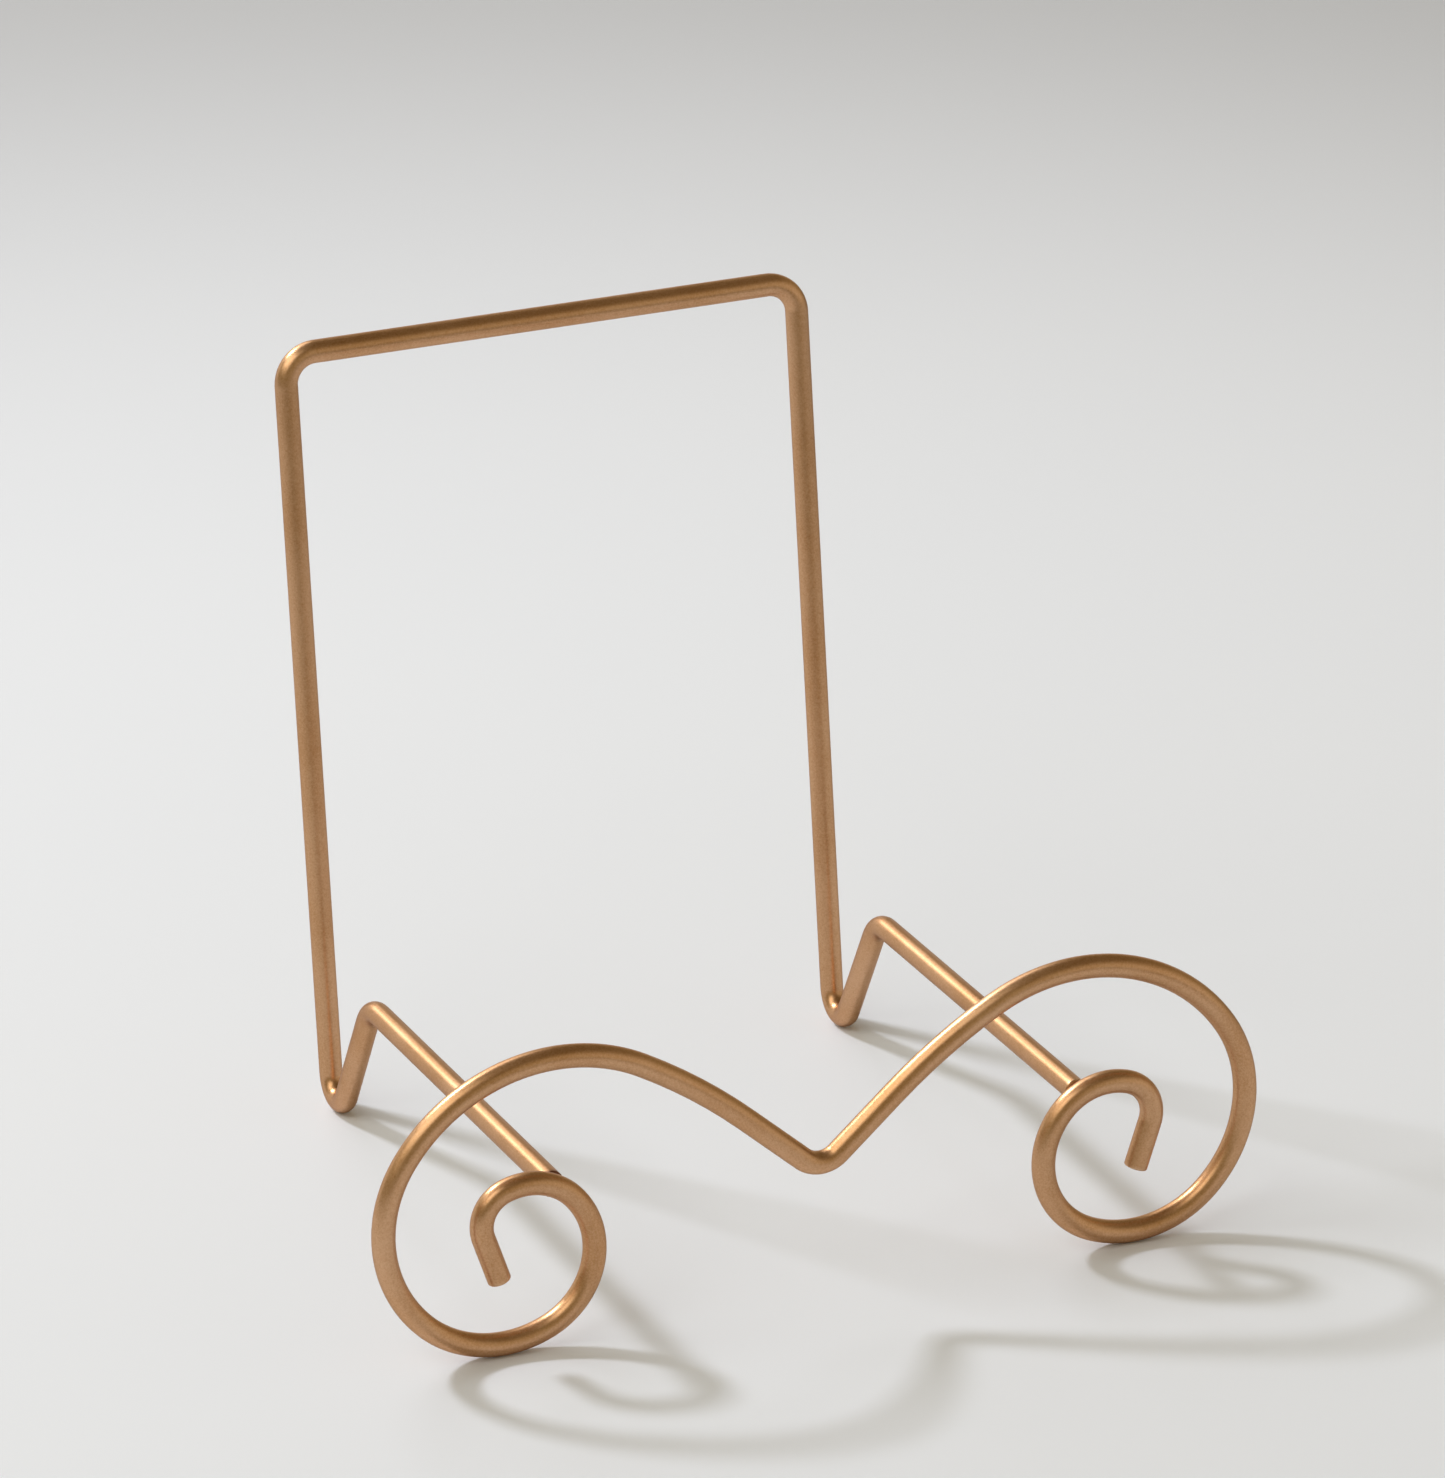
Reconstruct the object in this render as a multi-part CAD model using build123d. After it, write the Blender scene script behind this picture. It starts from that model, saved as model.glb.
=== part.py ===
from build123d import *
import os
from math import cos, radians, sin, tan

# A stand for a photo album, bent from two lengths of round rod and welded where they meet.
# The back frame leans behind the album and runs forward under it as two arms; the front
# scroll carries the arms' ends and keeps the album in. Millimetres, +Z up, -Y is the front,
# and the origin is on the table, in the middle of the stand's outline.

# Rod and overall size
ROD_D = 6.35                  # quarter-inch round rod
ROD_R = ROD_D / 2
OVERALL_HEIGHT = 212.5        # table to the top of the top bar
OVERALL_DEPTH = 199.0         # front of the scroll to the back of the top bar
SIDE_SPACING = 148.0          # left side to right side, centre to centre
END_CHAMFER = 0.4             # deburred edge of a cut end

# Back frame, with bend radii on the rod's centreline
UPRIGHT_LEAN = 6.3            # degrees back from vertical
LEG_LEAN = 32.0               # degrees forward from vertical
KNEE_HEIGHT = 41.5            # where the centrelines of leg and arm would cross
FOOT_BEND = 6.5
KNEE_BEND = 12.0
CORNER_BEND = 8.5

# Front scroll, right half, from the dip in the middle to the hook
DIP_BEND = (7.5, 41.5)        # radius and degrees of half the dip, the only upward bend
DIP_STRAIGHT = 21.5
SCROLL_BENDS = [              # radius and degrees of each downward and inward bend
    (160.0, 12.5),            # shoulder
    (50.0, 86.0),             # outer turn, over the top
    (37.0, 78.0),             # outer turn, down the side
    (30.5, 69.0),             # in along the table
    (22.5, 107.5),            # inner coil, up on the side of the middle
    (17.5, 67.0),             # inner coil, over its top
    (10.0, 90.0),             # hook
]
HOOK_STRAIGHT = 13.0

# Welds between the arms and the inner coils
ARM_PRESS = 0.8               # how far an arm's cut end is pressed into the coil
BEAD_R = 1.5
BEAD_SWEEP = 150.0            # degrees of the arm's underside that the bead goes round

ARM_X = SIDE_SPACING / 2
TOP_BAR_Y = OVERALL_DEPTH / 2 - ROD_R
TOP_BAR_Z = OVERALL_HEIGHT - ROD_R
SCROLL_Y = -TOP_BAR_Y
ARM_END_Y = SCROLL_Y + ROD_R - ARM_PRESS


def round_rod(name, path):
    """Rod with its centreline on the path and both cut ends deburred."""
    rod = sweep((path ^ 0) * Circle(ROD_R), path=path)
    expected = Circle(ROD_R).area * path.length
    print(f"{name}: rod {path.length:.1f} long, volume {rod.volume / expected:.5f} of section x length")
    cut_ends = rod.faces().filter_by(GeomType.PLANE)
    return chamfer(cut_ends.edges(), END_CHAMFER)


def straight_on(edge, length):
    """Straight run that leaves the end of an edge in its direction."""
    return Line(edge @ 1, edge @ 1 + length * (edge % 1))


def scroll_path():
    """Scroll's centreline: half of it is bent up in the XY plane, mirrored and stood on the table."""
    radius, turn = DIP_BEND
    half = [JernArc((0, 0), (1, 0), radius, turn)]
    half.append(straight_on(half[-1], DIP_STRAIGHT))
    for radius, turn in SCROLL_BENDS:
        half.append(JernArc(half[-1] @ 1, half[-1] % 1, radius, -turn))
    half.append(straight_on(half[-1], HOOK_STRAIGHT))
    path = Plane.XZ * Wire(half + [edge.mirror(Plane.YZ) for edge in half])
    return Pos(0, SCROLL_Y, ROD_R - path.bounding_box().min.Z) * path


def arm_end_height(path):
    """Height at which an arm meets the inner coil: a plumb line there crosses the scroll under
    the coil, over the coil and over the outer turn."""
    plumb_line = Line((ARM_X, SCROLL_Y, 0), (ARM_X, SCROLL_Y, OVERALL_HEIGHT))
    under_coil, over_coil, over_turn = sorted(crossing.Z for crossing in path & plumb_line)
    return over_coil


def side_corners(end_height):
    """(y, z) of the weld end, knee, foot and top corner of one side, where its centrelines cross."""
    half_fold = radians(UPRIGHT_LEAN + LEG_LEAN) / 2
    fold_tilt = radians(LEG_LEAN - UPRIGHT_LEAN) / 2
    foot_z = ROD_R + FOOT_BEND - FOOT_BEND / sin(half_fold) * cos(fold_tilt)
    foot_y = TOP_BAR_Y - (TOP_BAR_Z - foot_z) * tan(radians(UPRIGHT_LEAN))
    knee_y = foot_y - (KNEE_HEIGHT - foot_z) * tan(radians(LEG_LEAN))
    return [(ARM_END_Y, end_height), (knee_y, KNEE_HEIGHT), (foot_y, foot_z), (TOP_BAR_Y, TOP_BAR_Z)]


def back_frame_path(end_height):
    """Back frame's centreline, from the right arm's weld end over the top bar to the left one's."""
    corners = side_corners(end_height)
    right = [(ARM_X, y, z) for y, z in corners]
    left = [(-ARM_X, y, z) for y, z in reversed(corners)]
    bends = [KNEE_BEND, FOOT_BEND, CORNER_BEND]
    return FilletPolyline(*right, *left, radius=bends + bends[::-1])


def weld_bead(side, end_height, back_frame, front_scroll):
    """Bead in the crevice under an arm, between its cut end and the back of the coil."""
    start = -90 - BEAD_SWEEP / 2
    crevice = Plane((side * ARM_X, ARM_END_Y, end_height), x_dir=(1, 0, 0), z_dir=(0, -1, 0))
    line = crevice * CenterArc((0, 0), ROD_R, start, BEAD_SWEEP)
    bead = sweep((line ^ 0) * Circle(BEAD_R), path=line)
    for end in (line @ 0, line @ 1):
        bead += Pos(end) * Sphere(BEAD_R)
    return bead - back_frame - front_scroll


scroll_line = scroll_path()
end_height = arm_end_height(scroll_line)
front_scroll = round_rod("front_scroll", scroll_line)
back_frame = round_rod("back_frame", back_frame_path(end_height)) - front_scroll
weld_left = weld_bead(-1, end_height, back_frame, front_scroll)
weld_right = weld_bead(1, end_height, back_frame, front_scroll)

os.makedirs("parts", exist_ok=True)
export_step(front_scroll, "parts/front_scroll.step")
export_step(back_frame, "parts/back_frame.step")
export_step(weld_left, "parts/weld_left.step")
export_step(weld_right, "parts/weld_right.step")
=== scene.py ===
from math import atan2, cos, pi, radians, sin, tan

import bpy
import numpy as np
from mathutils import Matrix, Vector


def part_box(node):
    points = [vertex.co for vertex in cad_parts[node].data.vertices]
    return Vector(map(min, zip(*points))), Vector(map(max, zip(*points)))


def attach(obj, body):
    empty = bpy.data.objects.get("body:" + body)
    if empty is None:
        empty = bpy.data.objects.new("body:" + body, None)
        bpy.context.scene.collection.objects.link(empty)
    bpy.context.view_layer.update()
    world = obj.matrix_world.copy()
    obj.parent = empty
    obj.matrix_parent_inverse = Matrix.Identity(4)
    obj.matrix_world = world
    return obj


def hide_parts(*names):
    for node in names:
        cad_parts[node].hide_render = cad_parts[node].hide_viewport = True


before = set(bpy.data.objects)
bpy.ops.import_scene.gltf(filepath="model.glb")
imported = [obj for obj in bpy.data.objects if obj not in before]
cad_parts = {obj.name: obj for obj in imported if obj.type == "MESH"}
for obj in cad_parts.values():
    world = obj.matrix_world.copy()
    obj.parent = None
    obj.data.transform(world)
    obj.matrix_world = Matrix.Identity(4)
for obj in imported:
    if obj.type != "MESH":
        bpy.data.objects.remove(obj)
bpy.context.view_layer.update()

# A stand for a photo album, bent from two lengths of round rod, welded and finished in satin
# copper-bronze. Metres, +Z up, -Y is the front.

MM = 0.001
ROOT = "root"

# ---------------------------------------------------------------- sizes taken from the frame
SCROLL_LOW, SCROLL_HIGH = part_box("front_scroll")
FRAME_LOW, FRAME_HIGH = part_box("back_frame")
ROD_R = (SCROLL_HIGH.y - SCROLL_LOW.y) / 2
SCROLL_Y = (SCROLL_HIGH.y + SCROLL_LOW.y) / 2
ARM_X = (FRAME_HIGH.x - FRAME_LOW.x) / 2 - ROD_R
ARM_END_Y = FRAME_LOW.y
TOP_BAR_Y = FRAME_HIGH.y - ROD_R
TOP_BAR_Z = FRAME_HIGH.z - ROD_R

# ---------------------------------------------------------------- bends of the two rods
UPRIGHT_LEAN = radians(6.3)    # back from vertical
LEG_LEAN = radians(32.0)       # forward from vertical
KNEE_HEIGHT = 41.5 * MM        # where the centrelines of leg and arm would cross
FOOT_BEND = 6.5 * MM
KNEE_BEND = 12.0 * MM
CORNER_BEND = 8.5 * MM
DIP_BEND = (7.5, 41.5)         # radius in millimetres and degrees of half the dip
DIP_STRAIGHT = 21.5            # millimetres from the dip to the shoulder
SCROLL_BENDS = [               # radius in millimetres and degrees, all bent down and inwards
    (160.0, 12.5),             # shoulder
    (50.0, 86.0),              # outer turn, over the top
    (37.0, 78.0),              # outer turn, down the side
    (30.5, 69.0),              # in along the table
    (22.5, 107.5),             # inner coil, up on the side of the middle
    (17.5, 67.0),              # inner coil, over its top
    (10.0, 90.0),              # hook
]
HOOK_STRAIGHT = 13.0           # millimetres to the hook's cut end

# ---------------------------------------------------------------- skin of a rod
ROD_SIDES = 56                 # corners of its round section
STRAIGHT_STEP = 1.6 * MM       # rings along a straight run
BEND_STEP = radians(2.2)       # rings round a bend
END_ROUND = 0.4 * MM           # deburred edge of a cut end
END_RINGS = 7                  # rings round that edge
END_CLEAR = END_ROUND * 1.5    # from a cut end to the first ring of the even ones
END_RUB = END_ROUND * 1.2      # reach of the rubbed finish from a cut end
SKIN_INSET = 0.002 * MM        # keeps the skin inside the solid's box
FLATTENING = 0.035             # of the radius, in a bend as tight as the rod is thick
SETTLE = 5 * MM                # length over which the flattening fades into a straight run
SMOOTHING = SETTLE / 4         # reach of the weight that averages bends into straights
WELD_SHADOW = (0, 1.5)         # millimetres of painted crevice shadow on the arm at the right and left weld
CREVICE_SHADE_BLUR = 0.3 * MM            # width over which the painted crevice shadow fades out

# ---------------------------------------------------------------- weld beads
BEAD_R = 1.0 * MM
BEAD_SWEEP = radians(150.0)
BEAD_RIPPLES = 7
BEAD_RINGS = 72
BEAD_SIDES = 28
BEAD_CENTRE = ROD_R - 0.1 * BEAD_R     # from the arm's centreline to the bead's
PUDDLE_LEAN = 0.12             # of a puddle's length
PUDDLE_BASE = 0.82             # of the bead's radius, between puddles
PUDDLE_RISE = 0.10             # more at the top of a puddle
HAND_SWELL = 0.05              # more or less, once along the bead


# ================================================================ centrelines

def turned(vector, axis, angles):
    """One vector turned about a unit axis by each of the angles: the vector times the angle's
    cosine, plus the axis crossed with it times the sine, plus its part along the axis times one
    less the cosine."""
    c, s = np.cos(angles)[:, None], np.sin(angles)[:, None]
    along = axis * np.dot(vector, axis)
    return vector * c + np.cross(axis, vector) * s + along * (1 - c)


def end_setbacks():
    """Distances from a cut end of the rings that round its edge: the edge's radius times one
    less the cosine of equal steps through a quarter turn."""
    quarter = np.linspace(0, pi / 2, END_RINGS)
    return END_ROUND * (1 - np.cos(quarter))


def follow(start, heading, side, runs):
    """Centreline of a bent rod. A run is ("straight", length) or ("bend", radius, angle, axis),
    and carries on in the direction in which the last one ended. Gives the points, the tangents,
    a side vector that turns with the rod but doesn't twist round it, the direction to each
    bend's centre, and the curvature."""
    point, heading, side = (np.array(v, float) for v in (start, heading, side))
    points, tangents, sides, centres, curvatures = [], [], [], [], []
    last = len(runs) - 1
    for number, run in enumerate(runs):
        if run[0] == "straight":
            count = max(2, int(np.ceil(run[1] / STRAIGHT_STEP)) + 1)
            at = np.linspace(0, run[1], count)
            setback = end_setbacks()
            if number == 0:
                at = np.concatenate([setback, at[at > END_CLEAR]])
            if number == last:
                at = np.concatenate([at[at < run[1] - END_CLEAR], run[1] - setback[::-1]])
            ones = np.ones((len(at), 1))
            made = (point + heading * at[:, None], heading * ones, side * ones, np.zeros((len(at), 3)))
            bent = np.zeros(len(at))
        else:
            radius, angle, axis = run[1], run[2], np.array(run[3], float)
            at = np.linspace(0, angle, max(3, int(np.ceil(angle / BEND_STEP)) + 1))
            inwards = np.cross(axis, heading)
            centre = point + radius * inwards
            spoke = turned(-inwards, axis, at)
            headings, beside = turned(heading, axis, at), turned(side, axis, at)
            made = (centre + radius * spoke, headings, beside, -spoke)
            bent = np.full(len(at), 1 / radius)
        skip = 0 if number == 0 else 1
        for kept, new in zip((points, tangents, sides, centres), made):
            kept.append(new[skip:])
        curvatures.append(bent[skip:])
        point, heading, side = made[0][-1], made[1][-1], made[2][-1]
    joined = [np.concatenate(v) for v in (points, tangents, sides, centres, curvatures)]
    return dict(zip(("points", "tangents", "sides", "centres", "curvatures"), joined))


def runs_through(corners, radii):
    """Runs of a rod that goes from corner to corner and is bent round each inner one. A bend
    takes radius x tan(half its turn) off the straight on either side of it."""
    corners = [np.array(c, float) for c in corners]
    legs = [b - a for a, b in zip(corners, corners[1:])]
    lengths = [np.linalg.norm(leg) for leg in legs]
    ways = [leg / length for leg, length in zip(legs, lengths)]
    runs, taken = [], 0.0
    for way, onwards, length, radius in zip(ways, ways[1:], lengths, radii):
        axis = np.cross(way, onwards)
        turn = atan2(np.linalg.norm(axis), np.dot(way, onwards))
        off = radius * tan(turn / 2)
        runs.append(("straight", length - taken - off))
        runs.append(("bend", radius, turn, axis / np.linalg.norm(axis)))
        taken = off
    runs.append(("straight", lengths[-1] - taken))
    return corners[0], ways[0], runs


def scroll_line():
    """Front scroll from the left hook to the right one: the right half's bends laid out from
    the middle, and the same bends in the opposite order before them."""
    down = (0.0, 1.0, 0.0)     # turning about +Y takes a rod that heads for +X downwards
    up = (0.0, -1.0, 0.0)
    half = [("bend", DIP_BEND[0] * MM, radians(DIP_BEND[1]), up), ("straight", DIP_STRAIGHT * MM)]
    half += [("bend", radius * MM, radians(turn), down) for radius, turn in SCROLL_BENDS]
    half += [("straight", HOOK_STRAIGHT * MM)]
    right = follow((0, 0, 0), (1, 0, 0), (0, 1, 0), half)
    lift = ROD_R - right["points"][:, 2].min()
    hook_end = right["points"][-1] * (-1, 1, 1) + (0, SCROLL_Y, lift)
    hook_way = right["tangents"][-1] * (1, 1, -1)
    return follow(hook_end, hook_way, (0, 1, 0), half[::-1] + half)


def arm_end_height(line):
    """Height at which an arm meets the inner coil: where the scroll's centreline crosses the
    arm's X for the second time, counted from the table."""
    x, z = line["points"][:, 0] - ARM_X, line["points"][:, 2]
    k = np.nonzero(x[:-1] * x[1:] < 0)[0]
    heights = z[k] + (z[k + 1] - z[k]) * x[k] / (x[k] - x[k + 1])
    return np.sort(heights)[1]


def back_frame_line(end_height):
    """Back frame from the right arm's weld end, under the knee, up and over to the left."""
    half_fold = (UPRIGHT_LEAN + LEG_LEAN) / 2
    fold_tilt = (LEG_LEAN - UPRIGHT_LEAN) / 2
    foot_z = ROD_R + FOOT_BEND - FOOT_BEND / sin(half_fold) * cos(fold_tilt)
    foot_y = TOP_BAR_Y - (TOP_BAR_Z - foot_z) * tan(UPRIGHT_LEAN)
    knee_y = foot_y - (KNEE_HEIGHT - foot_z) * tan(LEG_LEAN)
    weld, knee = (ARM_END_Y, end_height), (knee_y, KNEE_HEIGHT)
    foot, corner = (foot_y, foot_z), (TOP_BAR_Y, TOP_BAR_Z)
    corners = [(ARM_X, y, z) for y, z in (weld, knee, foot, corner)]
    corners += [(-ARM_X, y, z) for y, z in (corner, foot, knee, weld)]
    bends = [KNEE_BEND, FOOT_BEND, CORNER_BEND]
    start, heading, runs = runs_through(corners, bends + bends[::-1])
    return follow(start, heading, (1, 0, 0), runs)


# ================================================================ meshes

def smoothed(values, stations, reach):
    """Values averaged along the rod with a bell-shaped weight of the given reach."""
    apart = (stations[:, None] - stations[None, :]) / reach
    spacing = np.gradient(stations)
    weight = np.exp(-0.5 * apart ** 2) * spacing[None, :]
    return (weight * values[None, :]).sum(1) / weight.sum(1)


def new_piece(name, corners, faces, attributes):
    """Object with a smooth-shaded mesh of these corners and faces, and one attribute per name."""
    mesh = bpy.data.meshes.new(name)
    mesh.from_pydata(corners.tolist(), [], faces)
    for key, values in attributes.items():
        vector = values.ndim == 2
        layer = mesh.attributes.new(key, "FLOAT_VECTOR" if vector else "FLOAT", "POINT")
        layer.data.foreach_set("vector" if vector else "value", values.astype(np.float32).ravel())
    mesh.polygons.foreach_set("use_smooth", np.ones(len(mesh.polygons), bool))
    mesh.update()
    piece = bpy.data.objects.new(name, mesh)
    bpy.context.collection.objects.link(piece)
    return piece


def tube_faces(rings, sides):
    """Quads between neighbouring rings of a tube and a fan at each end. The two poles come last
    among the corners, the first ring's before the last ring's."""
    ring, corner = np.meshgrid(np.arange(rings - 1), np.arange(sides), indexing="ij")
    beside = (corner + 1) % sides
    a, b = ring * sides + corner, ring * sides + beside
    quads = np.stack([a, b, b + sides, a + sides], -1).reshape(-1, 4)
    here = np.arange(sides)
    there = (here + 1) % sides
    first, last = rings * sides, rings * sides + 1
    top = (rings - 1) * sides
    start_fan = np.stack([np.full(sides, first), there, here], -1)
    end_fan = np.stack([np.full(sides, last), top + here, top + there], -1)
    return quads.tolist() + start_fan.tolist() + end_fan.tolist()


def rod_piece(name, line, crevice_shade_widths=(0, 0)):
    """Skin of a bent rod: a circle carried along the centreline, closed by flat cut ends with
    rounded edges. Its radius is thinned towards and away from a bend's centre by the flattening
    times the rod's radius over the bend's, times the squared cosine of the angle from there.
    The attribute straight_rod is each corner's place on the rod before it was bent, bend is the
    same ratio signed plus on the outside of the bend, cut_end is 1 at a cut end, and the last
    attribute is 1 on the shadow painted dark in the crevice at a weld, the last argument giving its
    widths in millimetres at the two ends."""
    points, tangents, sides = line["points"], line["tangents"], line["sides"]
    ups = np.cross(tangents, sides)
    steps = np.linalg.norm(np.diff(points, axis=0), axis=1)
    stations = np.concatenate([[0], np.cumsum(steps)])
    length = stations[-1]
    tightness = smoothed(line["curvatures"] * ROD_R, stations, SMOOTHING)
    pull = np.stack([smoothed(line["centres"][:, k], stations, SMOOTHING) for k in range(3)], 1)

    from_end = np.minimum(stations, length - stations)
    inside = np.clip(1 - from_end / END_ROUND, 0, 1)
    edge = END_ROUND * (1 - np.sqrt(1 - inside ** 2))
    radius = ROD_R - SKIN_INSET - edge

    turn = np.linspace(0, 2 * pi, ROD_SIDES, endpoint=False)
    ring = np.cos(turn)[None, :, None] * sides[:, None] + np.sin(turn)[None, :, None] * ups[:, None]
    towards = (ring * pull[:, None]).sum(2)
    thinned = 1 - FLATTENING * tightness[:, None] * towards ** 2
    skin = points[:, None] + ring * (radius[:, None] * thinned)[..., None]

    poles = points[[0, -1]]
    corners = np.concatenate([skin.reshape(-1, 3), poles])
    flat = np.stack([
        np.cos(turn)[None] * radius[:, None],
        np.sin(turn)[None] * radius[:, None],
        np.broadcast_to(stations[:, None], towards.shape),
    ], -1)
    straight = np.concatenate([flat.reshape(-1, 3), [(0, 0, 0), (0, 0, length)]])
    bend = np.concatenate([(-towards * tightness[:, None]).ravel(), [0, 0]])
    near_end = np.repeat(np.exp(-((from_end / END_RUB) ** 2)), ROD_SIDES)
    cut_end = np.concatenate([near_end, [1, 1]])
    # painted crevice shadow: dark near a welded end, out to the given widths, and on the flat end face
    # there
    edges = np.where(stations < length / 2, crevice_shade_widths[0], crevice_shade_widths[1]) * MM
    dark = np.clip((edges + CREVICE_SHADE_BLUR / 2 - from_end) / CREVICE_SHADE_BLUR, 0, 1) * (edges > 0)
    crevice_shade = np.concatenate([np.repeat(dark, ROD_SIDES), [crevice_shade_widths[0] > 0, crevice_shade_widths[1] > 0]])
    faces = tube_faces(len(points), ROD_SIDES)
    layers = {"straight_rod": straight, "bend": bend, "cut_end": cut_end, "crevice_shade": crevice_shade}
    return new_piece(name, corners, faces, layers)


def weld_piece(name, x, end_height):
    """Weld bead in the crevice under an arm: a circle carried along an arc round the arm's end.
    Its radius is that of a row of overlapping puddles, a raised, rectified sine that leans
    towards one end, and falls to nothing at both ends as the square root of a parabola."""
    along = np.linspace(-1, 1, BEAD_RINGS + 2)[1:-1]
    angle = -pi / 2 + along * BEAD_SWEEP / 2
    phase = (along + 1) / 2 * BEAD_RIPPLES
    puddle = np.abs(np.sin(pi * (phase + PUDDLE_LEAN * np.sin(2 * pi * phase))))
    swell = PUDDLE_BASE + PUDDLE_RISE * puddle + HAND_SWELL * np.sin(2.3 * along + x / ARM_X)
    radius = BEAD_R * swell * np.sqrt(1 - along ** 2) ** 0.5
    outwards = np.stack([np.cos(angle), 0 * angle, np.sin(angle)], 1)
    middle = np.array([x, ARM_END_Y, end_height]) + outwards * BEAD_CENTRE
    turn = np.linspace(0, 2 * pi, BEAD_SIDES, endpoint=False)
    back = np.array([0.0, 1.0, 0.0])
    ring = np.cos(turn)[None, :, None] * back - np.sin(turn)[None, :, None] * outwards[:, None]
    skin = middle[:, None] + ring * radius[:, None, None]
    ends = np.array([-1, 1]) * BEAD_SWEEP / 2 - pi / 2
    poles = np.stack([np.cos(ends), 0 * ends, np.sin(ends)], 1) * BEAD_CENTRE
    poles += (x, ARM_END_Y, end_height)
    corners = np.concatenate([skin.reshape(-1, 3), poles])
    groove = np.concatenate([np.repeat(1 - puddle, BEAD_SIDES), [0, 0]])
    return new_piece(name, corners, tube_faces(BEAD_RINGS, BEAD_SIDES), {"groove": groove})


# ================================================================ finishes

class Signal:
    """A shader socket. Arithmetic on it adds Math nodes to the tree it belongs to."""

    def __init__(self, shading, socket):
        self.shading, self.socket = shading, socket

    def math(self, operation, first, second=0.0):
        return self.shading.node("ShaderNodeMath", {"operation": operation}, {0: first, 1: second})

    def __add__(self, other):
        return self.math("ADD", self, other)

    def __sub__(self, other):
        return self.math("SUBTRACT", self, other)

    def __rsub__(self, other):
        return self.math("SUBTRACT", other, self)

    def __mul__(self, other):
        return self.math("MULTIPLY", self, other)

    __radd__, __rmul__ = __add__, __mul__

    def swing(self, amount):
        """A pattern between 0 and 1 made one that goes half the amount to either side of 0."""
        return (self - 0.5) * amount

    def clamped(self):
        return self.math("MINIMUM", self.math("MAXIMUM", self, 0.0), 1.0)

    def between(self, low, high):
        """0 at low and below, 1 at high and above, and a smooth step between them."""
        values = {"Value": self, "From Min": low, "From Max": high}
        return self.shading.node("ShaderNodeMapRange", {"interpolation_type": "SMOOTHSTEP"}, values)


class Shading:
    """The nodes of a material or of the world, which end in one shader."""

    def __init__(self, owner, shader, output):
        owner.use_nodes = True
        self.owner, self.tree = owner, owner.node_tree
        self.tree.nodes.clear()
        self.shader = self.tree.nodes.new(shader)
        end = self.tree.nodes.new(output)
        self.tree.links.new(self.shader.outputs[0], end.inputs["Surface"])

    def put(self, socket, value):
        if isinstance(value, Signal):
            self.tree.links.new(value.socket, socket)
        else:
            socket.default_value = value

    def feed(self, **sockets):
        """Sets or links the shader's sockets. An underscore in a name stands for a space."""
        for key, value in sockets.items():
            self.put(self.shader.inputs[key.replace("_", " ")], value)

    def node(self, kind, settings, sockets, output=0):
        """New node of this type: first its settings, then the values or links of its sockets."""
        made = self.tree.nodes.new(kind)
        for key, value in settings.items():
            setattr(made, key, value)
        for key, value in sockets.items():
            self.put(made.inputs[key], value)
        return Signal(self, made.outputs[output])

    def attribute(self, name, output):
        return self.node("ShaderNodeAttribute", {"attribute_name": name}, {}, output)

    def place(self):
        return self.node("ShaderNodeTexCoord", {}, {}, "Object")

    def part(self, vector, axis):
        return self.node("ShaderNodeSeparateXYZ", {}, {0: vector}, axis)

    def noise(self, place, size, detail=2.0, roughness=0.5):
        """Noise between 0 and 1 whose lumps are about this size in metres."""
        sockets = {"Vector": place, "Scale": 1 / size, "Detail": detail, "Roughness": roughness}
        return self.node("ShaderNodeTexNoise", {}, sockets)

    def mix(self, amount, first, second):
        """Colour between two colours."""
        return self.node("ShaderNodeMix", {"data_type": "RGBA"}, {0: amount, 6: first, 7: second}, 2)

    def bump(self, height, depth, strength=1.0, over=None):
        sockets = {"Height": height, "Distance": depth, "Strength": strength}
        if over:
            sockets["Normal"] = over
        return self.node("ShaderNodeBump", {}, sockets)


def new_finish(name, **constants):
    """Shading of a new material, with these constants on its Principled shader."""
    material = bpy.data.materials.new(name)
    finish = Shading(material, "ShaderNodeBsdfPrincipled", "ShaderNodeOutputMaterial")
    finish.feed(**constants)
    return finish


BRONZE_DEEP = (0.460, 0.228, 0.086, 1)
BRONZE = (0.630, 0.358, 0.188, 1)
BRONZE_PALE = (0.730, 0.470, 0.295, 1)
BRONZE_WORN = (0.780, 0.570, 0.400, 1)
# painted shadow colour for the crevice at a weld
CREVICE_SHADOW_BROWN = (0.190, 0.075, 0.040, 1)
EDGE_TINT = (0.52, 0.42, 0.36, 1)
FLOOR_PALE = (0.800, 0.845, 0.960, 1)
FLOOR_PALER = (0.820, 0.862, 0.970, 1)
# painted shade for the light's fall-off, away from the stand and in front of it
FLOOR_FAR_SHADE = (0.46, 0.475, 0.520, 1)
FLOOR_FRONT_SHADE = (0.320, 0.300, 0.270, 1)

# sizes and depths of the patterns, in metres
CLOUD = 0.045
MOTTLE = 0.0035
GRAIN = 0.00055
FLAKE = 0.00022
RIPPLE = 0.012
WELD_LUMP = 0.0009
WELD_GRAIN = 0.0003
FLOOR_CLOUD = 0.25
RIPPLE_DEPTH = 0.00005
GRAIN_DEPTH = 0.00002
WELD_DEPTH = 0.00012
RUBBED_HEIGHT = (0.0001, 0.0009)       # over the table, where standing has rubbed the finish

ROD_ROUGHNESS = 0.35
WELD_ROUGHNESS = 0.42
FLOOR_ROUGHNESS = 0.5


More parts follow.
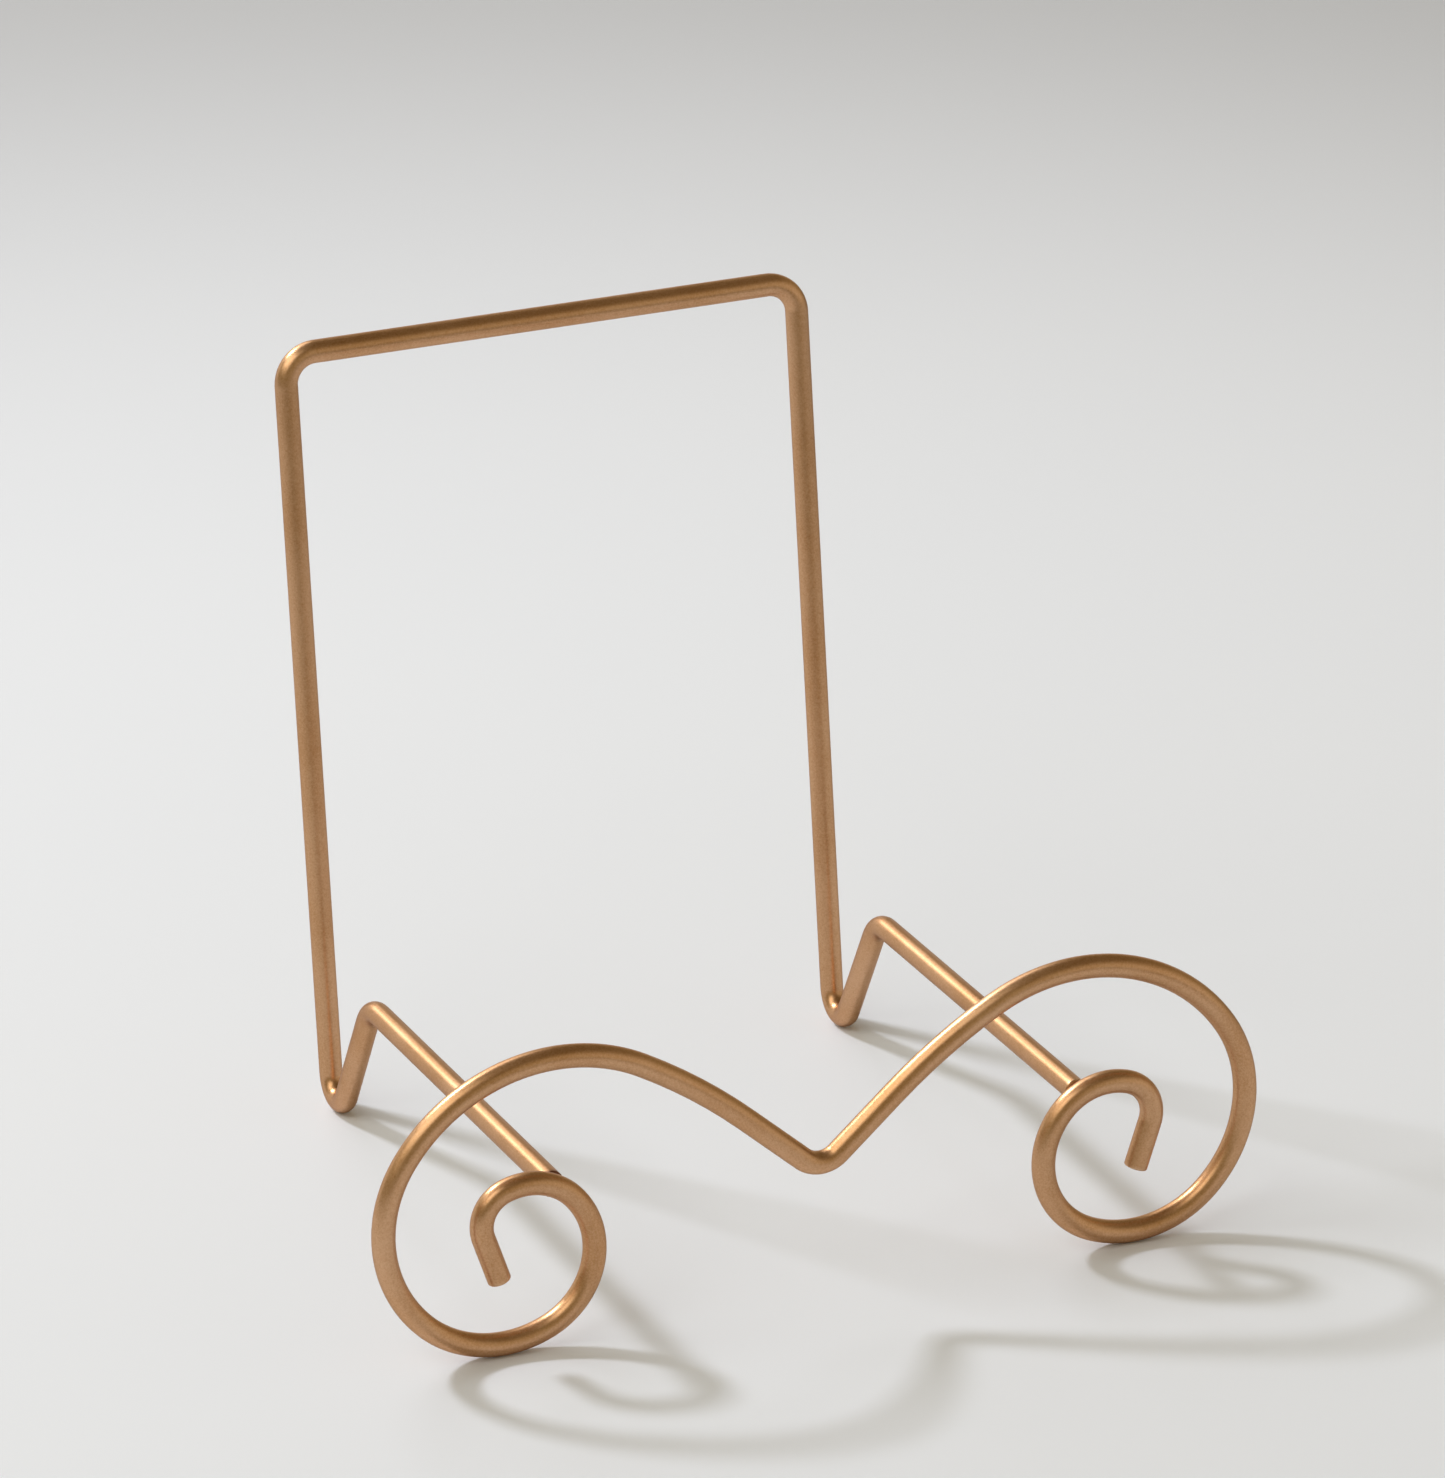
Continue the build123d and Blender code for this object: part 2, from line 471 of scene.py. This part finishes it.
def rod_finish():
    """Satin copper-bronze on a rod. Clouds of a few centimetres, mottle of a few millimetres and
    a grain of fine flakes vary its colour, roughness and height. It is paler where a bend
    stretched it, deeper where one squeezed it, and rubbed on cut edges and where it stands.
    Dark brown is painted on the arm at a weld for the shadow in the crevice."""
    finish = new_finish("satin_copper_bronze", Metallic=1.0, Coat_Weight=0.4, Coat_Roughness=0.38)
    finish.feed(Specular_Tint=EDGE_TINT)
    rod = finish.attribute("straight_rod", "Vector")
    bend = finish.attribute("bend", "Fac")
    cut_end = finish.attribute("cut_end", "Fac")
    cloud = finish.noise(rod, CLOUD, 3.0)
    mottle = finish.noise(rod, MOTTLE, 3.0, 0.6)
    grain = finish.noise(rod, GRAIN, 2.0, 0.7)
    flake = finish.noise(rod, FLAKE, 0.0)

    tone = 0.5 + cloud.swing(0.7) + mottle.swing(0.5) + grain.swing(0.7)
    tone = tone + flake.swing(0.5) + bend * 0.35
    colour = finish.mix(tone.clamped(), BRONZE_DEEP, BRONZE)
    pale = 0.2 + cloud.swing(1.2) + grain.swing(1.0)
    colour = finish.mix(pale.clamped(), colour, BRONZE_PALE)
    height = finish.part(finish.place(), "Z")
    standing = (1 - height.between(*RUBBED_HEIGHT)) * mottle.between(0.35, 0.6)
    rubbed = (cut_end * mottle.between(0.3, 0.7) * 0.7 + standing * 0.6).clamped()
    # painted shadow: dark brown on the arm in the crevice at a weld and on its hidden end face
    crevice_shade = finish.attribute("crevice_shade", "Fac")
    colour = finish.mix(rubbed, colour, BRONZE_WORN)
    finish.feed(Base_Color=finish.mix(crevice_shade, colour, CREVICE_SHADOW_BROWN))

    rough = ROD_ROUGHNESS + mottle.swing(0.10) + cloud.swing(0.08) + grain.swing(0.10)
    finish.feed(Roughness=(rough - bend * 0.04 + rubbed * 0.06).clamped())
    ripple = finish.bump(finish.noise(rod, RIPPLE, 1.0), RIPPLE_DEPTH, 0.2)
    finish.feed(Normal=finish.bump(grain * 0.5 + flake * 0.5, GRAIN_DEPTH, 0.3, over=ripple))
    return finish.owner


def weld_finish():
    """The same finish over a weld bead: deeper, duller and lumpier, darkest between its puddles."""
    finish = new_finish("satin_copper_bronze_weld", Metallic=1.0, Coat_Weight=0.2, Coat_Roughness=0.4)
    place = finish.place()
    groove = finish.attribute("groove", "Fac")
    lump = finish.noise(place, WELD_LUMP, 3.0, 0.6)
    grain = finish.noise(place, WELD_GRAIN, 1.0)
    tone = (0.55 + lump.swing(0.9) + grain.swing(0.4) - groove * 0.35).clamped()
    finish.feed(Base_Color=finish.mix(tone, BRONZE_DEEP, BRONZE))
    finish.feed(Roughness=(WELD_ROUGHNESS + lump.swing(0.2) + groove * 0.1).clamped())
    finish.feed(Normal=finish.bump(lump * 0.8 + grain * 0.2, WELD_DEPTH, 0.8))
    return finish.owner


def floor_finish():
    """Plain pale sheet with painted shade for the light's fall-off, deepening with the square of the
    distance from the stand, most of all in front."""
    finish = new_finish("pale_floor", Specular_IOR_Level=0.15)
    place = finish.place()
    x, y = finish.part(place, "X"), finish.part(place, "Y")
    cloud = finish.noise(place, FLOOR_CLOUD, 2.0)
    pale = finish.mix(cloud, FLOOR_PALE, FLOOR_PALER)
    # painted shade for the light's fall-off: darker with the square of the distance from the stand,
    # and more in front
    falloff_shade = (x * x + y * y).between(0.05, 1.3)
    with_falloff_shade = finish.mix(falloff_shade, pale, FLOOR_FAR_SHADE)
    front_shade = (y * -1.0).between(0.28, 0.95)
    finish.feed(Base_Color=finish.mix(front_shade, with_falloff_shade, FLOOR_FRONT_SHADE))
    finish.feed(Roughness=FLOOR_ROUGHNESS + cloud.swing(0.06))
    return finish.owner


# ================================================================ the stand

scroll = scroll_line()
end_height = arm_end_height(scroll)
rods = rod_finish()
welds = weld_finish()

back_frame = back_frame_line(end_height)

pieces = [             # piece, the node it stands for, its slot and its finish
    (rod_piece("front_scroll_rod", scroll), "front_scroll", "rod", rods),
    (rod_piece("back_frame_rod", back_frame, WELD_SHADOW), "back_frame", "rod", rods),
    (weld_piece("weld_left_bead", -ARM_X, end_height), "weld_left", "weld", welds),
    (weld_piece("weld_right_bead", ARM_X, end_height), "weld_right", "weld", welds),
]
for piece, node, slot, finish in pieces:
    piece.data.materials.append(finish)
    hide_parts(node)
    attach(piece, ROOT)

# ================================================================ floor, light and camera

FLOOR_HALF = 4.0
floor_corners = np.array([(-1, -1, 0), (1, -1, 0), (1, 1, 0), (-1, 1, 0)]) * FLOOR_HALF
floor = new_piece("floor", floor_corners, [(0, 1, 2, 3)], {})
floor.data.materials.append(floor_finish())


def looking(place, target, roll=0.0):
    """Matrix of a camera or lamp at a place that looks at a target, rolled clockwise."""
    back = (Vector(place) - Vector(target)).normalized()
    right = Vector((0, 0, 1)).cross(back).normalized()
    up = back.cross(right)
    tipped = right * cos(roll) + up * sin(roll), up * cos(roll) - right * sin(roll), back
    turn = Matrix(tipped).transposed()
    return Matrix.Translation(place) @ turn.to_4x4()


def soft_box(name, place, target, width, height, power, tint):
    """Rectangular softbox that faces its target."""
    lamp = bpy.data.lights.new(name, "AREA")
    lamp.shape = "RECTANGLE"
    lamp.size, lamp.size_y = width, height
    lamp.energy = power
    lamp.color = tint
    box = bpy.data.objects.new(name, lamp)
    box.matrix_world = looking(place, target)
    bpy.context.collection.objects.link(box)


MIDDLE = Vector((0, 0, TOP_BAR_Z / 2))
WHITE = (0.98, 0.99, 1.0)
WARM_WHITE = (1.0, 0.985, 0.88)
LOW_GOLD = (1.0, 0.84, 0.42, 1)
CEILING_GOLD = (1.0, 0.76, 0.40, 1)
CARD_CREAM = (1.0, 0.93, 0.80, 1)
WALL_WHITE = (0.95, 0.98, 1.0, 1)
CARD_WAY = (0.77, 0.64)        # how far to the right and to the front the card stands
CEILING_GLOW, LOW_GLOW, CARD_GLOW, WALL_GLOW = 0.19, 0.10, 0.52, 0.75


def studio():
    """Soft surroundings by direction: a dim golden ceiling and front, a pale wall low behind the
    stand, and a pale card low on the right in front of it."""
    world = bpy.data.worlds.new("studio")
    shading = Shading(world, "ShaderNodeBackground", "ShaderNodeOutputWorld")
    way = shading.node("ShaderNodeTexCoord", {}, {}, "Generated")
    x, y, z = (shading.part(way, axis) for axis in "XYZ")
    towards_card = (x * CARD_WAY[0] - y * CARD_WAY[1]).clamped()
    card = towards_card * towards_card * towards_card
    low = 1 - z.between(0.40, 0.85)
    wall = y.between(0.35, 0.85) * (1 - z.between(0.10, 0.50))
    tint = shading.mix(z.between(0.3, 0.8), LOW_GOLD, CEILING_GOLD)
    tint = shading.mix(card * low, tint, CARD_CREAM)
    tint = shading.mix(wall, tint, WALL_WHITE)
    glow = CEILING_GLOW + low * (LOW_GLOW + card * CARD_GLOW) + wall * WALL_GLOW
    shading.feed(Color=tint, Strength=glow)
    return world


def way_out(azimuth, elevation):
    """Direction out from the stand at this azimuth, 0 in front and a quarter turn on the right,
    and elevation: sine and minus cosine of the one by the cosine of the other, and its sine."""
    level = cos(elevation)
    return Vector((sin(azimuth) * level, -cos(azimuth) * level, sin(elevation)))


LAMP_DISTANCE = 4.5
LAMPS = [              # name, azimuth and elevation in degrees, width, height, watts, tint
    ("key_light", -149, 41, 0.56, 0.52, 96.0, WHITE),
    ("left_window", -80, 47, 5.0, 2.6, 85.0, WARM_WHITE),
    ("back_window", -172, 36, 2.7, 2.9, 46.0, WHITE),
]
for name, azimuth, elevation, width, height, power, tint in LAMPS:
    place = MIDDLE + way_out(radians(azimuth), radians(elevation)) * LAMP_DISTANCE
    soft_box(name, place, MIDDLE, width, height, power, tint)
bpy.context.scene.world = studio()
bpy.context.scene.view_settings.view_transform = "Standard"

AZIMUTH, ELEVATION, ROLL = radians(-21.83), radians(21.91), radians(-0.684)
DISTANCE = 3.0471
TARGET = Vector((0.04142, 0.07215, 0.08894))
FOCAL_LENGTH = 271.27          # millimetres
SENSOR_LONG_SIDE = 36.0        # millimetres
lens = bpy.data.cameras.new("camera")
lens.lens = FOCAL_LENGTH
lens.sensor_width = SENSOR_LONG_SIDE
lens.clip_start, lens.clip_end = 0.1, 30.0
camera = bpy.data.objects.new("camera", lens)
eye = TARGET + way_out(AZIMUTH, ELEVATION) * DISTANCE
camera.matrix_world = looking(eye, TARGET, ROLL)
bpy.context.collection.objects.link(camera)
bpy.context.scene.camera = camera
